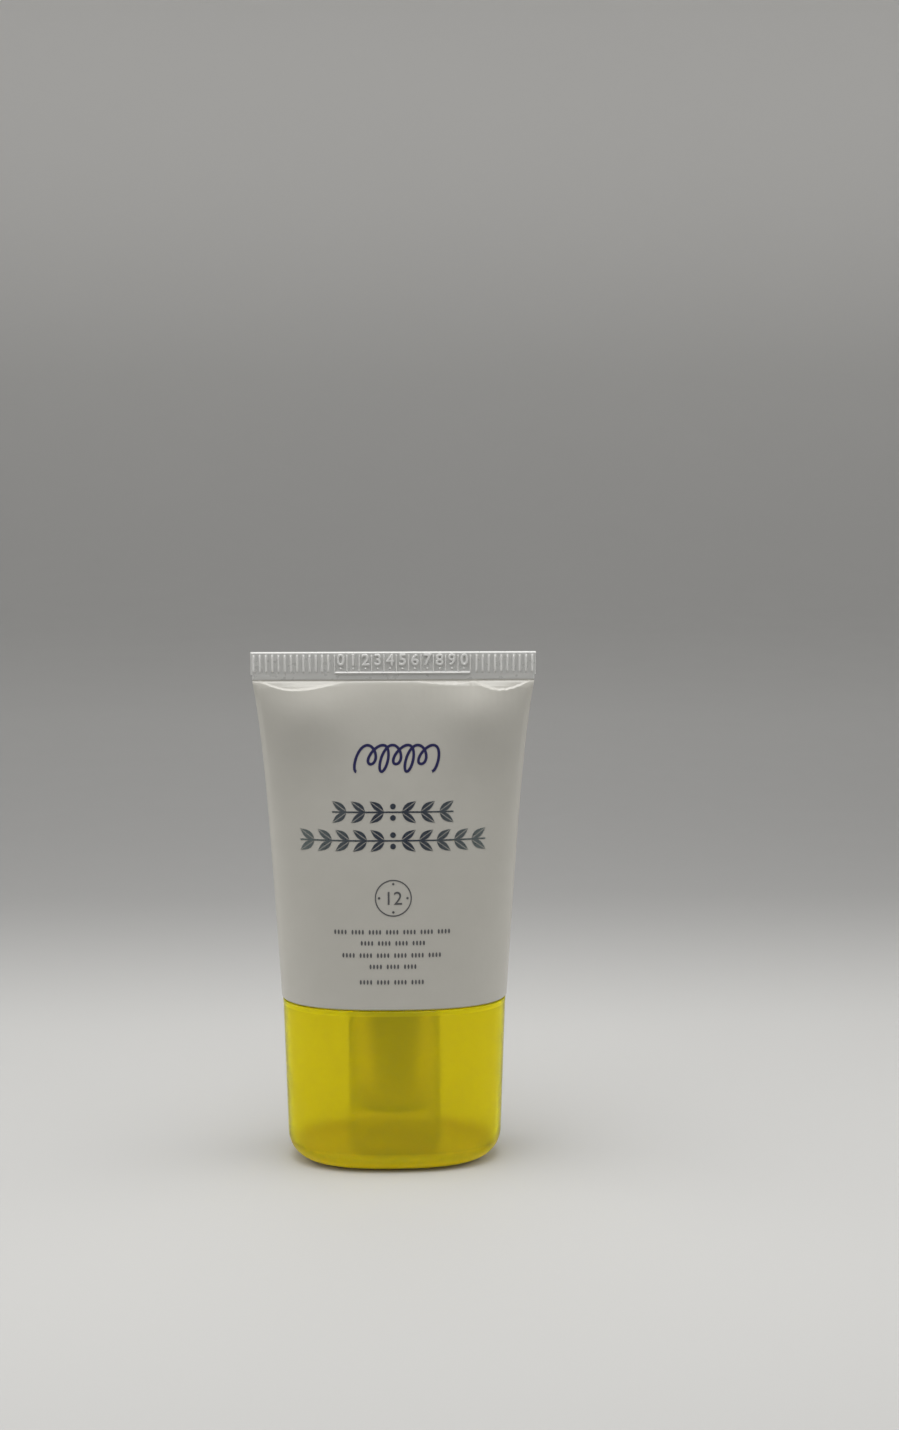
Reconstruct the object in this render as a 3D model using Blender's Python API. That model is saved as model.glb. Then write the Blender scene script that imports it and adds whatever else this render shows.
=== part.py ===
"""A small squeeze tube of cream that stands on its cap.

A thin sleeve is pinched and welded flat at its top. A moulded head with a nozzle closes its
open end, which points down. The see-through cap is an oval shell with a round inner sleeve,
which grips the collar of the head and plugs the nozzle.

Lengths are in metres and +Z is up. The origin is the middle of the cap's underside. The
printed front of the tube faces -Y, and +X is to the right of someone who looks at it.
"""

import math

import bmesh
import bpy
from mathutils import Matrix, Vector

# Clearances
SEAM_GAP = 0.0003
BEAD_CLEARANCE = 0.0001
OVERRUN = 0.0010

# Cap shell, which widens by its draft from its base to its mouth
CAP_HEIGHT = 0.0283
CAP_BASE_WIDTH = 0.0357
CAP_BASE_DEPTH = 0.0177
CAP_WIDTH_DRAFT = 0.0014
CAP_DEPTH_DRAFT = 0.0002
CAP_WALL = 0.0009
CAP_FLOOR = 0.0014
SIDE_ROUNDING = 0.0046
FRONT_ROUNDING = 0.0024
LOCATING_RING_HEIGHT = 0.0014
LOCATING_RING_WALL = 0.0010

# Inner sleeve of the cap, which just fits between the shell's front and back
INNER_WALL = 0.0010
FOOT_LAND = 0.00015
SEAT_HEIGHT = 0.0098
SEAT_THICKNESS = 0.0012
PIN_HEIGHT = 0.0013

# Sleeve of the tube, which stands a little proud of the cap's mouth
SLEEVE_HEIGHT = 0.0530
PROUD_AT_SIDES = 0.000175
PROUD_AT_FRONT = 0.00005
SLEEVE_TOP_WIDTH = 0.0455
SLEEVE_WALL = 0.0005
CAVITY_STOP = 0.0016

# Flat seal across the top of the sleeve
SEAL_WIDTH = 0.0460
SEAL_THICKNESS = 0.0009
SEAL_PLAIN_HEIGHT = 0.0008
SEAL_RIBBED_HEIGHT = 0.0039
RIB_PITCH = 0.0010
RIB_WIDTH = 0.0005
RIB_RELIEF = 0.00012
RIB_MARGIN = 0.0003
PANEL_LEFT = -0.0095
PANEL_RIGHT = 0.0124
PANEL_CELLS = 11
PANEL_LINE_WIDTH = 0.00025

# Head of the tube, from its plate down to the nozzle
PLATE_THICKNESS = 0.0012
SPIGOT_HEIGHT = 0.0008
COLLAR_HEIGHT = 0.0015
COLLAR_SHELF = 0.00175
BEAD_RADIUS = 0.0003
NOZZLE_WALL = 0.0010
NOZZLE_DRAFT = 0.0008
NOZZLE_SHOULDER_HEIGHT = 0.0042
NOZZLE_TIP_DIAMETER = 0.0034
NOZZLE_FILLET = 0.0008
ORIFICE_DIAMETER = 0.0020
ORIFICE_LENGTH = 0.0018
FUNNEL_WIDENING = 0.0010

# Air over the cream, below the top of the sleeve's cavity
HEADSPACE = 0.0049

# Outlines without a length: the power of an oval, how its bulge falls off towards the seal,
# and how the front and back sink in beside the middle, just below the seal
OVAL_POWER = 2.5
BULGE_POWER = 0.68
FLARE_SHARE = 0.26
FLARE_POWER = 5
SQUARING_POWER = 10
PINCH_SHARE = 0.14
PINCH_PLACE_SHARE = 0.66
PINCH_SPREAD_SHARE = 0.22
PINCH_RISE_SHARE = 0.80
PINCH_REACH_SHARE = 0.24

# Fineness of the solids
RING_POINTS = 64
TURN_STEPS = 48
ROUNDING_STEPS = 6
WALL_LEVELS = 3
SLEEVE_LEVELS = 13
CREAM_LEVELS = 7
LEVEL_CROWDING = 1.7
ARC_STEPS = 8
BEAD_STEPS = 4
SHARP_ANGLE = math.radians(32)
POLE_MERGE = 0.00001
NEARLY_ZERO = 1e-9

# Heights that follow from the sizes above
SLEEVE_BOTTOM = CAP_HEIGHT + SEAM_GAP
SEAL_BOTTOM = SLEEVE_BOTTOM + SLEEVE_HEIGHT
CAVITY_TOP = SEAL_BOTTOM - CAVITY_STOP
RIBS_BOTTOM = SEAL_BOTTOM + SEAL_PLAIN_HEIGHT
TUBE_TOP = RIBS_BOTTOM + SEAL_RIBBED_HEIGHT
PLATE_TOP = SLEEVE_BOTTOM + PLATE_THICKNESS
SPIGOT_BOTTOM = SLEEVE_BOTTOM - SPIGOT_HEIGHT
COLLAR_BOTTOM = SPIGOT_BOTTOM - COLLAR_HEIGHT
INNER_BOTTOM = CAP_FLOOR + SEAM_GAP
INNER_TOP = SPIGOT_BOTTOM - SEAM_GAP
SEAT_TOP = CAP_FLOOR + SEAT_HEIGHT
SEAT_BOTTOM = SEAT_TOP - SEAT_THICKNESS
NOZZLE_TIP = SEAT_TOP + SEAM_GAP
NOZZLE_SHOULDER = NOZZLE_TIP + NOZZLE_SHOULDER_HEIGHT
FILL_BOTTOM = PLATE_TOP + SEAM_GAP
FILL_TOP = CAVITY_TOP - HEADSPACE

# Widths and depths of the oval pieces where the sleeve meets the cap
CAP_MOUTH_WIDTH = CAP_BASE_WIDTH + CAP_WIDTH_DRAFT
CAP_MOUTH_DEPTH = CAP_BASE_DEPTH + CAP_DEPTH_DRAFT
SLEEVE_WIDTH = CAP_MOUTH_WIDTH + 2 * PROUD_AT_SIDES
SLEEVE_DEPTH = CAP_MOUTH_DEPTH + 2 * PROUD_AT_FRONT

# Radii of the round pieces
INNER_RADIUS = CAP_BASE_DEPTH / 2 - CAP_WALL - SEAM_GAP
INNER_BORE = INNER_RADIUS - INNER_WALL
FOOT_RADII = (INNER_WALL - FOOT_LAND, FRONT_ROUNDING - CAP_WALL - SEAM_GAP)
COLLAR_RADIUS = INNER_BORE - SEAM_GAP
ROOT_RADIUS = COLLAR_RADIUS - COLLAR_SHELF
SHOULDER_RADIUS = ROOT_RADIUS - NOZZLE_DRAFT
TIP_RADIUS = NOZZLE_TIP_DIAMETER / 2
ORIFICE_RADIUS = ORIFICE_DIAMETER / 2
PIN_RADIUS = ORIFICE_RADIUS - SEAM_GAP


def clear_scene():
    for item in list(bpy.data.objects):
        bpy.data.objects.remove(item)


def new_material(name, colour, roughness, transmission=0.0):
    material = bpy.data.materials.new(name)
    material.use_nodes = True
    shader = material.node_tree.nodes["Principled BSDF"]
    shader.inputs["Base Color"].default_value = (*colour, 1.0)
    shader.inputs["Roughness"].default_value = roughness
    shader.inputs["Metallic"].default_value = 0.0
    shader.inputs["Transmission Weight"].default_value = transmission
    material.diffuse_color = (*colour, 1.0)
    return material


def new_empty(name, height):
    empty = bpy.data.objects.new(name, None)
    empty.location = (0, 0, height)
    bpy.context.scene.collection.objects.link(empty)
    return empty


def new_object(name, mesh, material=None, parent=None):
    """Link a mesh whose points are in world space, under a parent that stays where it is."""
    piece = bpy.data.objects.new(name, mesh)
    bpy.context.scene.collection.objects.link(piece)
    if material:
        mesh.materials.append(material)
    if parent:
        mesh.transform(Matrix.Translation(-parent.location))
        piece.parent = parent
    mesh.shade_smooth()
    mesh.set_sharp_from_angle(angle=SHARP_ANGLE)
    return piece


def signed_power(value, exponent):
    if abs(value) < NEARLY_ZERO:
        return 0.0
    return math.copysign(abs(value) ** exponent, value)


def blend(low, high, share):
    return low + (high - low) * share


def oval_ring(half_width, half_depth, height, depth_exponent=2 / OVAL_POWER):
    """Points of a level superellipse. A depth exponent near 0 makes it a rectangle."""
    ring = []
    for step in range(RING_POINTS):
        angle = 2 * math.pi * step / RING_POINTS
        across = half_width * signed_power(math.cos(angle), 2 / OVAL_POWER)
        along = half_depth * signed_power(math.sin(angle), depth_exponent)
        ring.append(Vector((across, along, height)))
    return ring


def pinched(ring, half_width, rise):
    """Sink the front and back in beside the middle, where the flat seal draws them in."""
    depth_share = PINCH_SHARE * math.exp(-(((rise - PINCH_RISE_SHARE) / PINCH_REACH_SHARE) ** 2))
    for point in ring:
        offset = (abs(point.x) / half_width - PINCH_PLACE_SHARE) / PINCH_SPREAD_SHARE
        point.y *= 1 - depth_share * math.exp(-(offset**2))
    return ring


def sleeve_ring(height, inset=0.0):
    """The sleeve's outline at a height, or one that lies the inset inside it."""
    rise = min((height - SLEEVE_BOTTOM) / SLEEVE_HEIGHT, 1.0)
    flare = (1 - FLARE_SHARE) * rise + FLARE_SHARE * rise**FLARE_POWER
    fullness = (1 - rise) ** BULGE_POWER
    half_width = blend(SLEEVE_WIDTH, SLEEVE_TOP_WIDTH, flare) / 2 - inset
    half_depth = blend(SEAL_THICKNESS, SLEEVE_DEPTH, fullness) / 2 - inset
    exponent = 2 / OVAL_POWER * (1 - rise**SQUARING_POWER)
    return pinched(oval_ring(half_width, half_depth, height, exponent), half_width, rise)


def sleeve_heights(bottom, top, levels=SLEEVE_LEVELS):
    """Heights from bottom to top that lie closer together towards the top."""
    heights = []
    for level in range(levels + 1):
        rise = 1 - (1 - level / levels) ** LEVEL_CROWDING
        heights.append(blend(bottom, top, rise))
    return heights


def corner_inset(above, radius):
    """How far a rounded lower edge lies inside the wall, at a height above its foot."""
    if above >= radius:
        return 0.0
    return radius - math.sqrt(radius**2 - (radius - above) ** 2)


def cap_ring(height, inset=0.0, foot=0.0):
    """The cap's outline at a height, or one inside it whose rounded edge starts at a foot."""
    rise = height / CAP_HEIGHT
    half_width = blend(CAP_BASE_WIDTH, CAP_MOUTH_WIDTH, rise) / 2 - inset
    half_depth = blend(CAP_BASE_DEPTH, CAP_MOUTH_DEPTH, rise) / 2 - inset
    half_width -= corner_inset(height - foot, SIDE_ROUNDING - inset)
    half_depth -= corner_inset(height - foot, FRONT_ROUNDING - inset)
    return oval_ring(half_width, half_depth, height)


def cap_heights(foot, radius):
    """Heights for the rounded lower edge, closest at its foot, and then for the wall."""
    heights = []
    for step in range(ROUNDING_STEPS + 1):
        angle = math.pi / 2 * step / ROUNDING_STEPS
        heights.append(foot + radius * (1 - math.cos(angle)))
    for level in range(1, WALL_LEVELS + 1):
        heights.append(blend(foot + radius, CAP_HEIGHT, level / WALL_LEVELS))
    return heights


def skin(name, rings):
    """One closed surface through a row of rings, with a flat face on the first and the last."""
    shape = bmesh.new()
    rows = [[shape.verts.new(point) for point in ring] for ring in rings]
    for near, far in zip(rows, rows[1:]):
        for step in range(RING_POINTS):
            after = (step + 1) % RING_POINTS
            shape.faces.new((near[step], near[after], far[after], far[step]))
    shape.faces.new(rows[0])
    shape.faces.new(rows[-1])
    bmesh.ops.recalc_face_normals(shape, faces=shape.faces)
    mesh = bpy.data.meshes.new(name)
    shape.to_mesh(mesh)
    shape.free()
    return mesh


def turned(name, outline, material=None, parent=None):
    """A round solid from an outline of (radius, height) that runs down its outer side."""
    mesh = bpy.data.meshes.new(name)
    points = [(radius, 0, height) for radius, height in outline]
    mesh.from_pydata(points, [(step, step + 1) for step in range(len(points) - 1)], [])
    piece = new_object(name, mesh, material, parent)
    screw = piece.modifiers.new("turn", "SCREW")
    screw.steps = TURN_STEPS
    screw.render_steps = TURN_STEPS
    screw.use_merge_vertices = True
    screw.merge_threshold = POLE_MERGE
    return piece


def arc(centre, radii, start, end, steps):
    """Points of an elliptical arc in (radius, height), with its angles in quarter turns."""
    points = []
    for step in range(steps + 1):
        angle = math.pi / 2 * blend(start, end, step / steps)
        points.append(
            (centre[0] + radii[0] * math.cos(angle), centre[1] + radii[1] * math.sin(angle))
        )
    return points


def combine(piece, helper, operation):
    """Join a helper to a piece, or cut it out, and leave the helper out of the object."""
    helper.hide_render = True
    helper.display_type = "WIRE"
    boolean = piece.modifiers.new(helper.name, "BOOLEAN")
    boolean.operation = operation
    boolean.object = helper


def add_block(shape, low, high):
    """A box between two corners, added to a mesh that is being made."""
    low, high = Vector(low), Vector(high)
    place = Matrix.Translation((low + high) / 2) @ Matrix.Diagonal((*(high - low), 1.0))
    bmesh.ops.create_cube(shape, size=1.0, matrix=place)


def seal_bars():
    """Left and right edge of each raised upright bar on the seal: ribs, then panel lines."""
    bars = []
    for start, end in (
        (-SEAL_WIDTH / 2 + RIB_MARGIN, PANEL_LEFT),
        (PANEL_RIGHT, SEAL_WIDTH / 2 - RIB_MARGIN),
    ):
        count = int((end - start) / RIB_PITCH)
        first = (start + end - (count - 1) * RIB_PITCH - RIB_WIDTH) / 2
        bars += [
            (first + rib * RIB_PITCH, first + rib * RIB_PITCH + RIB_WIDTH) for rib in range(count)
        ]
    room = PANEL_RIGHT - PANEL_LEFT - 2 * PANEL_LINE_WIDTH
    for line in range(PANEL_CELLS + 1):
        left = PANEL_LEFT + PANEL_LINE_WIDTH / 2 + room * line / PANEL_CELLS
        bars.append((left, left + PANEL_LINE_WIDTH))
    return bars


def make_seal_relief(name, bars, low, high):
    """Bars raised on both faces of the seal, from their left and right edges."""
    face = SEAL_THICKNESS / 2
    shape = bmesh.new()
    for front in (-1, 1):
        inner, outer = front * face / 2, front * (face + RIB_RELIEF)
        near, far = min(inner, outer), max(inner, outer)
        for left, right in bars:
            add_block(shape, (left, near, low), (right, far, high))
    mesh = bpy.data.meshes.new(name)
    shape.to_mesh(mesh)
    shape.free()
    return new_object(name, mesh)


def make_tube_sleeve(material, parent):
    outer = [sleeve_ring(height) for height in sleeve_heights(SLEEVE_BOTTOM, SEAL_BOTTOM)]
    inner = [
        sleeve_ring(height, SLEEVE_WALL) for height in sleeve_heights(SLEEVE_BOTTOM, CAVITY_TOP)
    ]
    seal = [
        oval_ring(SEAL_WIDTH / 2, SEAL_THICKNESS / 2, height, 0.0)
        for height in (RIBS_BOTTOM, TUBE_TOP)
    ]
    mesh = skin("tube_sleeve", seal[::-1] + outer[::-1] + inner)
    sleeve = new_object("tube_sleeve", mesh, material, parent)
    relief_bottom, relief_top = RIBS_BOTTOM + RIB_MARGIN, TUBE_TOP - RIB_MARGIN
    upright = make_seal_relief("seal_bars", seal_bars(), relief_bottom, relief_top)
    combine(sleeve, upright, "UNION")
    line_ends = (PANEL_LEFT + PANEL_LINE_WIDTH / 2, PANEL_RIGHT - PANEL_LINE_WIDTH / 2)
    line_top = relief_bottom + PANEL_LINE_WIDTH
    underline = make_seal_relief("panel_line", [line_ends], relief_bottom, line_top)
    combine(sleeve, underline, "UNION")
    return sleeve


def nozzle_outline():
    """From inside the head's plate down over the collar, its bead and the nozzle."""
    bead_height = blend(COLLAR_BOTTOM, INNER_TOP, 1 / 2)
    bead_centre = INNER_BORE - BEAD_CLEARANCE - BEAD_RADIUS
    fillet_centre = (ROOT_RADIUS + NOZZLE_FILLET, COLLAR_BOTTOM - NOZZLE_FILLET)
    dome = (SHOULDER_RADIUS - TIP_RADIUS, NOZZLE_SHOULDER_HEIGHT)
    bead_reach = math.sqrt(BEAD_RADIUS**2 - (COLLAR_RADIUS - bead_centre) ** 2)
    bead_angle = math.asin(bead_reach / BEAD_RADIUS) / (math.pi / 2)
    outline = [(0, blend(SLEEVE_BOTTOM, PLATE_TOP, 1 / 2))]
    outline.append((COLLAR_RADIUS, outline[0][1]))
    outline += arc(
        (bead_centre, bead_height), (BEAD_RADIUS, BEAD_RADIUS), bead_angle, -bead_angle, BEAD_STEPS
    )
    outline.append((COLLAR_RADIUS, COLLAR_BOTTOM))
    outline += arc(fillet_centre, (NOZZLE_FILLET, NOZZLE_FILLET), 1, 2, BEAD_STEPS)
    outline += arc((TIP_RADIUS, NOZZLE_SHOULDER), dome, 0, -1, ARC_STEPS)
    outline.append((0, NOZZLE_TIP))
    return outline


def bore_outline(inset, top, bottom):
    """From the cream side down through the nozzle, at an inset inside the bore's wall."""
    land_top = NOZZLE_TIP + ORIFICE_LENGTH
    wide = ROOT_RADIUS - NOZZLE_WALL
    outline = [
        (0, top),
        (wide + FUNNEL_WIDENING - inset, top),
        (wide + FUNNEL_WIDENING - inset, PLATE_TOP),
        (wide - inset, SLEEVE_BOTTOM),
        (wide - inset, COLLAR_BOTTOM),
        (SHOULDER_RADIUS - NOZZLE_WALL - inset, NOZZLE_SHOULDER),
        (ORIFICE_RADIUS, land_top + inset),
    ]
    if bottom < land_top:
        outline.append((ORIFICE_RADIUS, bottom))
    outline.append((0, outline[-1][1]))
    return outline


def make_tube_head(material, parent):
    spigot_inset = CAP_WALL + SEAM_GAP
    plate_inset = SLEEVE_WALL + SEAM_GAP
    spigot = [Vector((p.x, p.y, SLEEVE_BOTTOM)) for p in cap_ring(CAP_HEIGHT, spigot_inset)]
    foot = [Vector((p.x, p.y, SPIGOT_BOTTOM)) for p in spigot]
    plate = [sleeve_ring(height, plate_inset) for height in (SLEEVE_BOTTOM, PLATE_TOP)]
    head = new_object("tube_head", skin("tube_head", [foot, spigot, *plate]), material, parent)
    combine(head, turned("nozzle_body", nozzle_outline()), "UNION")
    bore = bore_outline(0.0, PLATE_TOP + OVERRUN, NOZZLE_TIP - OVERRUN)
    combine(head, turned("nozzle_bore", bore), "DIFFERENCE")
    return head


def make_cream(material, parent):
    """The cream fills the sleeve from the head upwards and runs into the nozzle."""
    levels = sleeve_heights(FILL_BOTTOM, FILL_TOP, CREAM_LEVELS)
    rings = [sleeve_ring(height, SLEEVE_WALL + SEAM_GAP) for height in levels]
    cream = new_object("cream_fill", skin("cream_fill", rings), material, parent)
    stem = bore_outline(SEAM_GAP, FILL_BOTTOM + OVERRUN, NOZZLE_TIP + ORIFICE_LENGTH)
    combine(cream, turned("cream_stem", stem), "UNION")
    return cream


def make_cap_shell(material, parent):
    outer = [cap_ring(height) for height in cap_heights(0.0, SIDE_ROUNDING)]
    inner_heights = cap_heights(CAP_FLOOR, SIDE_ROUNDING - CAP_WALL)
    inner = [cap_ring(height, CAP_WALL, CAP_FLOOR) for height in inner_heights]
    shell = new_object("cap_shell", skin("cap_shell", outer + inner[::-1]), material, parent)
    ring_radius = INNER_BORE - SEAM_GAP
    ring_bore = ring_radius - LOCATING_RING_WALL
    ring_top = CAP_FLOOR + LOCATING_RING_HEIGHT
    ring_foot = CAP_FLOOR / 2
    outline = [
        (ring_bore, ring_foot),
        (ring_bore, ring_top),
        (ring_radius, ring_top),
        (ring_radius, ring_foot),
        (ring_bore, ring_foot),
    ]
    combine(shell, turned("locating_ring", outline), "UNION")
    return shell


def make_cap_inner_sleeve(material, parent):
    outline = [
        (0, SEAT_TOP + PIN_HEIGHT),
        (PIN_RADIUS, SEAT_TOP + PIN_HEIGHT),
        (PIN_RADIUS, SEAT_TOP),
        (INNER_BORE, SEAT_TOP),
        (INNER_BORE, INNER_TOP),
        (INNER_RADIUS, INNER_TOP),
    ]
    foot_centre = (INNER_RADIUS - FOOT_RADII[0], INNER_BOTTOM + FOOT_RADII[1])
    outline += arc(foot_centre, FOOT_RADII, 0, -1, BEAD_STEPS)
    outline += [(INNER_BORE, INNER_BOTTOM), (INNER_BORE, SEAT_BOTTOM), (0, SEAT_BOTTOM)]
    return turned("cap_inner_sleeve", outline, material, parent)


def main():
    clear_scene()
    white = new_material("satin_white_film", (0.80, 0.79, 0.75), 0.42)
    natural = new_material("natural_plastic", (0.78, 0.77, 0.72), 0.38)
    yellow = new_material("clear_yellow_plastic", (0.86, 0.76, 0.03), 0.25, 0.8)
    cream = new_material("cream", (0.88, 0.84, 0.76), 0.30)
    cap = new_empty("cap", 0.0)
    tube = new_empty("tube", SLEEVE_BOTTOM)
    make_cap_shell(yellow, cap)
    make_cap_inner_sleeve(yellow, cap)
    make_tube_sleeve(white, tube)
    make_tube_head(natural, tube)
    make_cream(cream, tube)


main()
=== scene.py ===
"""The looks of a small squeeze tube of cream that stands on its see-through cap.

Lengths are in metres and +Z is up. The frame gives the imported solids. Each piece here is a finer
mesh of the same shape, which stands for its solid and rides on the solid's body. What is
printed on the tube is generic ornament and plain numbers.
"""

import math

import bmesh
import bpy
from mathutils import Euler, Matrix, Vector


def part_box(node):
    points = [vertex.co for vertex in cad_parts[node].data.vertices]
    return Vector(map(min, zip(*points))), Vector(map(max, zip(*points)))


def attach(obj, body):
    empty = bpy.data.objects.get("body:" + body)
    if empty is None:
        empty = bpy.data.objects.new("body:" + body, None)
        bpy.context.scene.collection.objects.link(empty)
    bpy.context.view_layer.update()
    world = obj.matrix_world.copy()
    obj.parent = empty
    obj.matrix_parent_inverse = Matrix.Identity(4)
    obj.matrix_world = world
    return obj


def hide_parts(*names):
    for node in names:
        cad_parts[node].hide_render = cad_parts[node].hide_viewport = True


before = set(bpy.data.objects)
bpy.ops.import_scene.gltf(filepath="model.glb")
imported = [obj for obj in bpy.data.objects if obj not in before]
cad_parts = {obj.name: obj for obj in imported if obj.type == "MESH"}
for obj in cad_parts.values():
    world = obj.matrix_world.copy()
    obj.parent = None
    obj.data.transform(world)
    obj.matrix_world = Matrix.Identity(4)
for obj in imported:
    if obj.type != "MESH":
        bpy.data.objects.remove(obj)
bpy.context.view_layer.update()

# Sizes that the frame gives
SHELL_LOW, SHELL_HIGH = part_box("cap_shell")
INNER_LOW, INNER_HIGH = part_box("cap_inner_sleeve")
SLEEVE_LOW, SLEEVE_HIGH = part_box("tube_sleeve")
HEAD_LOW, HEAD_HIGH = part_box("tube_head")
FILL_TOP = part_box("cream_fill")[1].z
CAP_HEIGHT = SHELL_HIGH.z
CAP_MOUTH_WIDTH = SHELL_HIGH.x - SHELL_LOW.x
CAP_MOUTH_DEPTH = SHELL_HIGH.y - SHELL_LOW.y
INNER_RADIUS = INNER_HIGH.x
INNER_BOTTOM, INNER_TOP = INNER_LOW.z, INNER_HIGH.z
SLEEVE_BOTTOM, TUBE_TOP = SLEEVE_LOW.z, SLEEVE_HIGH.z
SLEEVE_DEPTH = SLEEVE_HIGH.y - SLEEVE_LOW.y
SEAL_WIDTH = SLEEVE_HIGH.x - SLEEVE_LOW.x
NOZZLE_TIP, PLATE_TOP = HEAD_LOW.z, HEAD_HIGH.z
SEAM_GAP = SLEEVE_BOTTOM - CAP_HEIGHT

# Cap
CAP_WIDTH_DRAFT = 0.0014
CAP_DEPTH_DRAFT = 0.0002
CAP_WALL = 0.0009
CAP_FLOOR = 0.0014
SIDE_ROUNDING = 0.0046
FRONT_ROUNDING = 0.0024
LIP_ROUNDING = 0.00018
RING_HEIGHT = 0.0014
RING_WALL = 0.0010
INNER_WALL = 0.0010
FOOT_LAND = 0.00015
SEAT_HEIGHT = 0.0098
SEAT_THICKNESS = 0.0012
PIN_HEIGHT = 0.0013

# Haze and tint of the cap: deep in its floor, slight at its mouth
CAP_CLEARNESS = (0.20, 0.82)
CAP_FLOOR_HEIGHTS = (0.0012, 0.0034)
# The floor's tint is partly the deeper colour of thicker plastic and partly painted shade.
CAP_FLOOR_TINT_AND_SHADE = (1.0, 0.85, 0.3)
CAP_MOUTH_CLEARNESS = 0.86
CAP_MOUTH_HEIGHTS = (CAP_HEIGHT - 0.0009, CAP_HEIGHT - 0.0007)

# Sleeve
SLEEVE_HEIGHT = 0.0530
PROUD_AT_SIDES = 0.000175
SLEEVE_TOP_WIDTH = 0.0455
SLEEVE_WALL = 0.0005
CAVITY_STOP = 0.0016
HEM_ROUNDING = 0.00015

# Flat seal
SEAL_THICKNESS = 0.0009
SEAL_PLAIN_HEIGHT = 0.0008
RIB_PITCH = 0.0010
RIB_WIDTH = 0.0005
RIB_RELIEF = 0.00020
RIB_MARGIN = 0.0003
PANEL_LEFT = -0.0095
PANEL_RIGHT = 0.0124
PANEL_CELLS = 11
PANEL_LINE_WIDTH = 0.00028
PIN_MARK_RADIUS = 0.00022
PIN_MARK_RISE = 0.0007
SEAL_EDGE = 0.00016
SEAL_TUCK = 0.00005
NUMERAL_HEIGHT = 0.0019
NUMERAL_DROP = 0.0012
NUMERAL_RELIEF = 0.00012
NUMERAL_ROUNDING = 0.00006
NUMERAL_ROUNDING_STEPS = 2
DIGIT_SHARE = 0.7
RAISED = "raised"
SEAL_CLEARNESS = (0.12, 0.0)
# Painted highlight: the raised relief of the seal is painted paler.
SEAL_RAISED_HIGHLIGHT_COLOUR = (0.71, 0.71, 0.69)

# Folds that the seal draws into the film: start, lowest point and end along X, depth below the
# film's top, and how ragged the line is
FOLDS = (
    (-0.0220, -0.0162, -0.0078, 0.00150, 0.00002),
    (0.0030, 0.0094, 0.0138, 0.00056, 0.00015),
    (0.0128, 0.0172, 0.0224, 0.00155, 0.00006),
)
FOLD_RAGGED_PITCH = 0.00019
FOLD_LEDGE = 0.00022
FOLD_LEAN = 0.08
FOLD_SHARPNESS = 0.00008
FOLD_TAPER = 0.00032
FOLD_FADE = 0.0018
FOLD_END = 0.0090
FILM_LAP = 0.00025

# Swelling of the film under the seal's outer thirds
SWELL_PLACE = 0.0138
SWELL_SPREAD = 0.0066
SWELL_DEPTH = 0.00110
SWELL_REACH = 0.0060

# Head
SPIGOT_HEIGHT = 0.0008
COLLAR_HEIGHT = 0.0015
COLLAR_SHELF = 0.00175
BEAD_RADIUS = 0.0003
BEAD_CLEARANCE = 0.0001
NOZZLE_WALL = 0.0010
NOZZLE_DRAFT = 0.0008
NOZZLE_SHOULDER_HEIGHT = 0.0042
NOZZLE_TIP_DIAMETER = 0.0034
NOZZLE_FILLET = 0.0008
ORIFICE_DIAMETER = 0.0020
ORIFICE_LENGTH = 0.0018
FUNNEL_WIDENING = 0.0010
OVERRUN = 0.0010

# Powers and shares of the outlines, as in the solids
OVAL_POWER = 2.5
BULGE_POWER = 0.68
FLARE_SHARE = 0.26
FLARE_POWER = 5
SQUARING_POWER = 10
PINCH_SHARE = 0.14
PINCH_PLACE_SHARE = 0.66
PINCH_SPREAD_SHARE = 0.22
PINCH_RISE_SHARE = 0.80
PINCH_REACH_SHARE = 0.24

# Print on the front of the sleeve, with heights above its lower edge
INK_LIFT = 0.00002
INK_THICKNESS = 0.00002
FLOURISH_CENTRE = (0.0006, 0.0412)
FLOURISH_WIDTH = 0.0122
FLOURISH_LOOPS = 6
FLOURISH_LOOP_WIDTH = 0.00105
FLOURISH_LOOP_HEIGHT = 0.0024
FLOURISH_DROP_SHARE = 0.5
FLOURISH_SLANT = 0.24
FLOURISH_STROKE = 0.00044
LEAF_LENGTH = 0.00275
LEAF_WIDTH = 0.00118
LEAF_TILT = math.radians(36)
LEAF_RIB = 0.00013
LEAF_POWER = 0.85
SPRIG_STEM = 0.00024
BERRY_RADIUS = 0.00046
DIAL_CENTRE = (-0.0002, 0.0184)
DIAL_RADIUS = 0.0029
DIAL_STROKE = 0.00019
DIAL_DOT_RADIUS = 0.00020
DIAL_DOT_REACH = 0.0023
DIAL_NUMERAL = "12"
DIAL_NUMERAL_HEIGHT = 0.0021
SEED_WIDTH = 0.00032
SEED_HEIGHT = 0.00078
SEED_PITCH = 0.00056
SEED_GROUP = 5

# Sprigs as (middle along X, height, width, pairs of leaves)
SPRIG_ROWS = ((-0.0002, 0.0323, 0.0196, 6), (-0.0002, 0.0277, 0.0300, 10))

# Rows of seeds as (middle along X, height, width)
SEED_ROWS = (
    (-0.0004, 0.01286, 0.0202),
    (-0.0003, 0.01105, 0.0107),
    (-0.0005, 0.00905, 0.0177),
    (-0.0003, 0.00720, 0.0091),
    (-0.0005, 0.00465, 0.0111),
)

# Painted sheen on the foil, which gets paler between two distances from the middle
FOIL_SHEEN_FADE = (0.004, 0.016)
FOIL_SHEEN_COLOUR = (0.30, 0.35, 0.34)

# Camera, as the photograph was taken, with its place in the object's own frame
CAMERA_PLACE = (-0.00257, -0.32678, 0.1457)
CAMERA_PITCH = math.radians(12.06)
CAMERA_TURN = math.radians(2.04)
CAMERA_ROLL = math.radians(0.16)
CAMERA_SENSOR = 36.0
CAMERA_LENS = 51.81

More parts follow.
